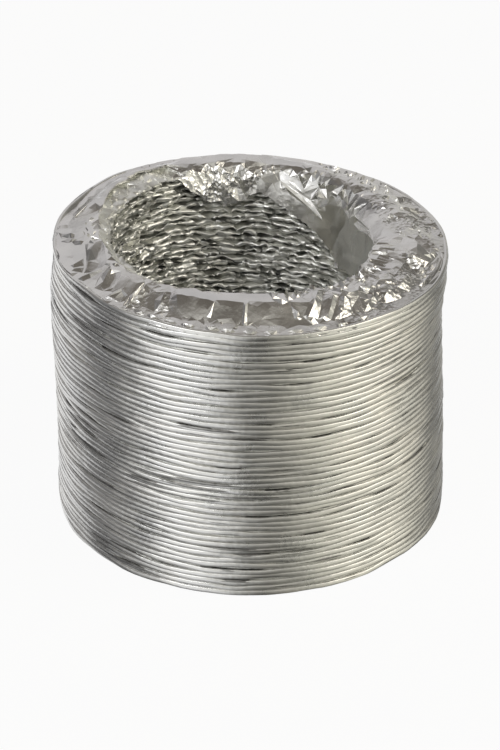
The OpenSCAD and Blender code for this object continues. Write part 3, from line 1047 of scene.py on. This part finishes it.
# %% Crumples
# Degrees round the rim, then heights of the coarse and of the fine crumples at the lip, the head
# of the slope, the inner bend, the turn below it, the middle and the end of the hanging part.
crumples = [
    (140, (0.05, 0.05, 0.05, 0.06, 0.60, 1.10), (0.03, 0.03, 0.04, 0.05, 0.40, 0.60)),
    (160, (0.05, 0.05, 0.05, 0.06, 0.60, 1.10), (0.03, 0.03, 0.04, 0.05, 0.40, 0.60)),
    (170, (0.08, 0.10, 0.08, 0.10, 0.40, 0.90), (0.08, 0.08, 0.06, 0.10, 0.30, 0.50)),
    (183, (0.25, 0.25, 0.12, 0.10, 0.40, 0.90), (0.20, 0.20, 0.12, 0.10, 0.30, 0.50)),
    (193, (0.12, 0.15, 0.12, 0.10, 0.40, 0.90), (0.08, 0.10, 0.10, 0.10, 0.30, 0.50)),
    (212, (0.06, 0.08, 0.12, 0.12, 0.45, 0.80), (0.04, 0.05, 0.10, 0.12, 0.30, 0.40)),
    (228, (0.06, 0.08, 0.08, 0.10, 0.20, 0.30), (0.03, 0.04, 0.04, 0.08, 0.15, 0.20)),
    (234, (0.80, 0.90, 0.20, 0.15, 0.20, 0.30), (0.45, 0.50, 0.12, 0.12, 0.20, 0.25)),
    (242, (0.70, 0.80, 0.15, 0.12, 0.20, 0.30), (0.45, 0.40, 0.10, 0.12, 0.20, 0.25)),
    (246, (0.40, 0.06, 0.12, 0.12, 0.20, 0.30), (0.20, 0.04, 0.08, 0.12, 0.20, 0.25)),
    (277, (0.40, 0.06, 0.25, 0.14, 0.20, 0.30), (0.20, 0.04, 0.16, 0.14, 0.20, 0.25)),
    (286, (0.30, 0.30, 0.50, 0.40, 0.30, 0.30), (0.20, 0.12, 0.25, 0.20, 0.20, 0.25)),
    (300, (0.40, 0.50, 0.90, 0.60, 0.30, 0.30), (0.22, 0.20, 0.40, 0.30, 0.20, 0.25)),
    (322, (0.40, 0.80, 1.20, 0.80, 0.30, 0.30), (0.22, 0.32, 0.50, 0.35, 0.20, 0.20)),
    (332, (0.30, 0.80, 1.30, 0.60, 0.20, 0.20), (0.22, 0.32, 0.50, 0.25, 0.12, 0.12)),
    (342, (0.30, 0.40, 0.90, 0.10, 0.08, 0.08), (0.22, 0.25, 0.38, 0.05, 0.04, 0.04)),
    (348, (0.15, 0.25, 0.20, 0.05, 0.05, 0.05), (0.16, 0.20, 0.12, 0.03, 0.03, 0.03)),
    (364, (0.25, 0.35, 0.30, 0.30, 0.06, 0.03), (0.25, 0.35, 0.24, 0.18, 0.04, 0.02)),
    (374, (0.60, 0.60, 0.45, 0.45, 0.08, 0.03), (0.42, 0.40, 0.30, 0.26, 0.06, 0.02)),
    (392, (0.60, 0.60, 0.50, 0.50, 0.08, 0.03), (0.42, 0.35, 0.30, 0.24, 0.06, 0.02)),
    (405, (0.25, 0.35, 0.50, 0.60, 0.06, 0.03), (0.20, 0.20, 0.18, 0.14, 0.02, 0.02)),
    (430, (0.12, 0.25, 0.60, 0.90, 0.20, 0.04), (0.12, 0.14, 0.20, 0.20, 0.08, 0.03)),
    (440, (0.06, 0.10, 0.60, 0.90, 0.50, 0.30), (0.05, 0.06, 0.20, 0.22, 0.15, 0.12)),
    (450, (0.05, 0.06, 0.50, 0.80, 0.80, 0.70), (0.04, 0.05, 0.20, 0.24, 0.24, 0.24)),
    (474, (0.05, 0.06, 0.50, 0.80, 0.80, 0.70), (0.04, 0.05, 0.20, 0.24, 0.24, 0.24)),
    (481, (0.05, 0.05, 0.20, 0.40, 0.50, 0.50), (0.03, 0.04, 0.10, 0.20, 0.25, 0.25)),
    (485, (0.05, 0.05, 0.05, 0.06, 0.60, 1.10), (0.03, 0.03, 0.04, 0.05, 0.40, 0.60)),
    (500, (0.05, 0.05, 0.05, 0.06, 0.60, 1.10), (0.03, 0.03, 0.04, 0.05, 0.40, 0.60)),
]
lip = 5


def rumple(u, s):
    """Heights of the coarse and the fine crumples at a place."""
    angle = angle_at(u)
    bands = lengths(angle)[lip:]
    found = []
    for amounts in blend(crumples, angle):
        if s <= bands[0]:
            found.append(amounts[0] * min(1, max(0, (s - 0.8) / 1.5)))
        elif s >= bands[-1]:
            found.append(amounts[-1])
        else:
            i = max(i for i, band in enumerate(bands[:-1]) if band <= s)
            t = (s - bands[i]) / (bands[i + 1] - bands[i])
            found.append(amounts[i] + t * (amounts[i + 1] - amounts[i]))
    return found


def random_layer(gap, seed):
    """Spots about one gap apart, and a layer of random heights from -1 to 1 on them."""
    chance = random.Random(seed)
    spots = scatter(62, lambda u, s: gap, 9000 if gap > 3 else 40000, seed)
    return spots, layer(spots, [Vector((0, 0, chance.uniform(-1, 1))) for _ in spots])


def folds_between(spots, most, part):
    """Edges of the triangles between spots, where this part of the crumples is high enough."""
    laid, edges, faces, _, _, _ = delaunay_2d_cdt([Vector(s) for s in spots], [], [], 0, 1e-4)
    pairs = {tuple(sorted(pair)) for a, b, c in faces for pair in ((a, b), (b, c), (c, a))}
    kept = []
    for a, b in sorted(pairs):
        ends = (laid[a], laid[b])
        if all(1.5 < p.y < free_length(p.x) - 0.8 and 1 < p.x < girth - 1 for p in ends):
            if all(rumple(*p)[part] > most for p in ends):
                kept.append((tuple(ends[0]), tuple(ends[1])))
    return kept


coarse_spots, coarse_height = random_layer(4.4, 21)
fine_spots, fine_height = random_layer(2.1, 22)

# %% [markdown]
# The fine mesh takes in the creases as edges and ends in a ragged free edge. Each of its points
# is looked up in the cage and pushed off it by the heights. Then the sheet gets its thickness.

# %% Sheet
def free_length(u):
    """Length across the foil to its free edge."""
    return lengths(angle_at(u))[-1]


def fine_gap(u, s):
    """Distance between points of the fine mesh, or None off the strip."""
    if s < 0.9 or s > free_length(u) - 0.7 or u < 0.6 or u > girth - 0.6:
        return None
    return 1.4 + 1.2 * min(1, rumple(u, s)[1] / 0.2)


chance = random.Random(5)
ring = []
steps = 200
for i in range(steps + 1):
    ring.append((girth * i / steps, 0.0))
side = free_length(girth)
ring += [(girth, side * i / 20) for i in range(1, 20)]
ring.append((girth, side))
u = girth
while u > 2.2:
    u -= chance.uniform(0.8, 1.5)
    ring.append((u, free_length(u) + chance.uniform(-0.5, 0.3)))
ring += [(0.0, side * i / 20) for i in range(20, 0, -1)]

kept = [Vector(p) for p in ring] + [Vector(p) for p in crease_spots]
first = len(ring)
edges = [(i, (i + 1) % first) for i in range(first)]
edges += [(first + i, first + j) for i, j in crease_edges]
for p, q in folds_between(coarse_spots, 0.25, 0) + folds_between(fine_spots, 0.15, 1):
    edges.append((len(kept), len(kept) + 1))
    kept += [Vector(p), Vector(q)]
for from_angle, to_angle in ((seam + 2, 162), (484, seam + 358)):
    for corner in range(7, 10):
        line = [(flat_u(a), lengths(a)[corner]) for a in range(from_angle, to_angle + 1)]
        edges += [(len(kept) + i, len(kept) + i + 1) for i in range(len(line) - 1)]
        kept += [Vector(p) for p in line]
kept += [Vector(p) for p in scatter(62, fine_gap, 120000, 8)]
laid, _, faces, _, _, _ = delaunay_2d_cdt(kept, edges, [list(range(first))], 1, 0.02)
print("sheet:", len(laid), "points")

sunken = 0.5
edge_corner = 8
places = []
for spot in laid:
    u, s = spot
    base = cage(u, s)
    ahead = cage(min(u + 0.3, girth), s) - cage(max(u - 0.3, 0), s)
    inwards = cage(u, s + 0.3) - cage(u, max(s - 0.3, 0))
    out = ahead.cross(inwards).normalized()
    coarse, fine = rumple(u, s)
    edge = min(1, u / 3, (girth - u) / 3)
    lift = coarse * (coarse_height(u, s).z - sunken) + fine * fine_height(u, s).z
    place = base + out * (crease_height(u, s).z + edge * lift)
    places.append(place * MM)

import bmesh

mesh = bpy.data.meshes.new("foil_loose_end")
mesh.from_pydata(places, [], faces)
for face, spots_of_face in zip(mesh.polygons, faces):
    u, s = sum((laid[i] for i in spots_of_face), Vector((0, 0))) / len(spots_of_face)
    angle = angle_at(u)
    inner = s > lengths(angle)[edge_corner] + 0.1
    # Faces that hang into the bore take the fold foil, which is painted paler as painted light for their shade.
    if inner and (angle < 238 or angle > 482):
        face.material_index = 1
    elif rumple(u, s)[1] > 0.21:
        face.material_index = 2
bm = bmesh.new()
bm.from_mesh(mesh)
bmesh.ops.remove_doubles(bm, verts=bm.verts, dist=0.02 * MM)
bmesh.ops.recalc_face_normals(bm, faces=bm.faces)
if sum(face.normal.z * face.calc_area() for face in bm.faces) < 0:
    bmesh.ops.reverse_faces(bm, faces=bm.faces)
bm.to_mesh(mesh)
bm.free()
for material in (foil_loose, fold_foil_painted_pale, foil_pressed):
    mesh.materials.append(material)
loose = bpy.data.objects.new("foil_loose_end", mesh)
bpy.context.collection.objects.link(loose)

modifier = loose.modifiers.new("settle", "NODES")
modifier.node_group = settle
thick = loose.modifiers.new("thickness", "SOLIDIFY")
thick.thickness = 0.15 * MM
thick.offset = -1
bpy.context.view_layer.update()
made = bpy.data.meshes.new_from_object(loose.evaluated_get(bpy.context.evaluated_depsgraph_get()))
loose.modifiers.clear()
loose.data = made
made.shade_smooth()
made.set_sharp_from_angle(angle=math.radians(9))
belongs(loose, "foil_sleeve")
print(f"foil_loose_end: {len(made.polygons)} faces")
